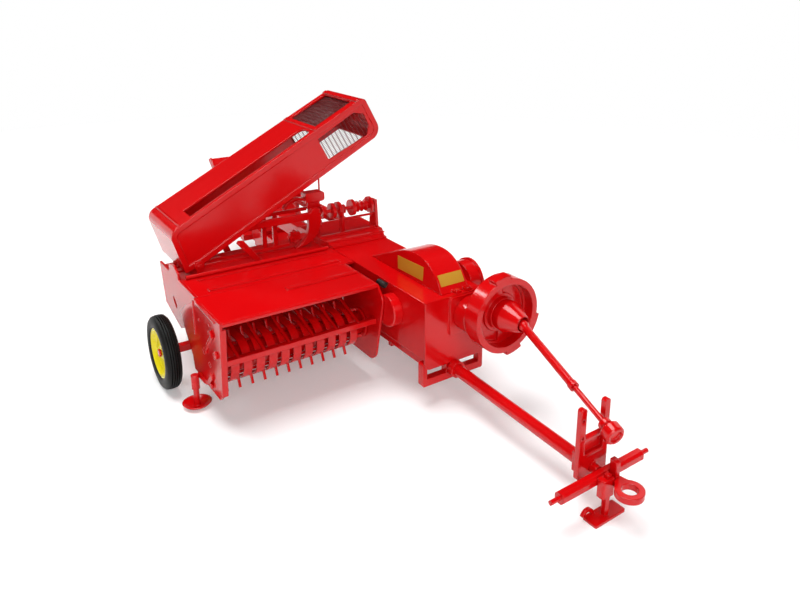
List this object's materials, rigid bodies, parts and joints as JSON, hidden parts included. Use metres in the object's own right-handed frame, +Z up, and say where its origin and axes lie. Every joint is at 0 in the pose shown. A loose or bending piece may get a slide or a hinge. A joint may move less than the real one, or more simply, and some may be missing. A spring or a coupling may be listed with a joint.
{
  "type": "die-cast scale model of a square baler",
  "caption": "Scale model of a towed square baler with turning wheels, pickup reel, flywheel and a telescoping drive shaft, standing on its parking stand.",
  "frame": {"origin": "on the floor under the middle of the bounding box", "axes": "+Z up, +Y to the rear of the machine, +X to its left side"},
  "size_m": [0.1635, 0.4371, 0.1516],
  "materials": {
    "red_paint": "gloss red enamel",
    "tyre": "matt black rubber",
    "rim": "gloss yellow enamel",
    "metal": "bright metal"
  },
  "bodies": {
    "machine": {"axle_beam": "red_paint", "axle_bracket": "red_paint", "axle_stub_left": "red_paint", "axle_stub_right": "red_paint", "bale_case": "red_paint", "bale_chamber_rails": "red_paint", "bale_chute": "red_paint", "bearing_boss": "red_paint", "case_top_cover": "red_paint", "chassis_rails": "red_paint", "chute_chains": "metal", "crank_guard": "red_paint", "drawbar": "red_paint", "drawbar_anchor": "red_paint", "drawbar_yoke": "red_paint", "feed_table": "red_paint", "feeder_deck": "red_paint", "feeder_hood": "red_paint", "feeder_rear_deck": "red_paint", "feeder_rear_wall": "red_paint", "feeder_side_panel": "red_paint", "front_plate": "red_paint", "header_end_panel": "red_paint", "header_lever": "red_paint", "header_lip_bar": "red_paint", "header_side_panel": "red_paint", "header_top": "red_paint", "hinge_rod": "red_paint", "hitch_cross_bar": "red_paint", "hitch_head": "red_paint", "hood_bracket_front": "red_paint", "hood_bracket_rear": "red_paint", "hood_screens": "metal", "knotter_end_stand": "red_paint", "knotter_frame": "red_paint", "knotter_head": "red_paint", "knotter_shaft": "red_paint", "side_drum_cover": "red_paint", "side_gearbox": "red_paint", "skid_arm": "red_paint", "skid_dish": "red_paint", "stand_sleeve": "red_paint", "stripper_bands": "red_paint", "tension_screws": "red_paint", "tow_eye": "red_paint", "trip_arm": "red_paint", "wind_guard": "red_paint"},
    "wheel_right": {"tyre_right": "tyre", "rim_right": "rim"},
    "wheel_left": {"tyre_left": "tyre", "rim_left": "rim"},
    "pickup_reel": {"pickup_reel": "red_paint"},
    "flywheel": {"flywheel": "red_paint", "clutch_bell": "red_paint"},
    "drive_shaft": {"drive_shaft_outer": "red_paint"},
    "drive_shaft_end": {"drive_shaft_inner": "red_paint"},
    "stand": {"parking_stand": "red_paint"}
  },
  "joints": [
    {"name": "wheel_right_spin", "type": "hinge", "parent": "machine", "child": "wheel_right", "pos_m": [-0.07725, 0.0165, 0.021], "axis": [1, 0, 0], "continuous": true},
    {"name": "wheel_left_spin", "type": "hinge", "parent": "machine", "child": "wheel_left", "pos_m": [0.07725, 0.0165, 0.021], "axis": [1, 0, 0], "continuous": true},
    {"name": "pickup_spin", "type": "hinge", "parent": "machine", "child": "pickup_reel", "pos_m": [-0.023, -0.031, 0.031], "axis": [1, 0, 0], "continuous": true},
    {"name": "flywheel_spin", "type": "hinge", "parent": "machine", "child": "flywheel", "pos_m": [0.06, -0.126, 0.056], "axis": [0, 1, 0], "continuous": true},
    {"name": "drive_shaft_lift", "type": "hinge", "parent": "machine", "child": "drive_shaft", "pos_m": [0.06, -0.126, 0.056], "axis": [-1, 0, 0], "range_deg": [-4, 20]},
    {"name": "drive_shaft_slide", "type": "slide", "parent": "drive_shaft", "child": "drive_shaft_end", "axis": [-0.1792, -0.9576, -0.2258], "range_m": [0, 0.012]},
    {"name": "stand_lift", "type": "slide", "parent": "machine", "child": "stand", "axis": [0, 0, 1], "range_m": [0, 0.009]}
  ]
}
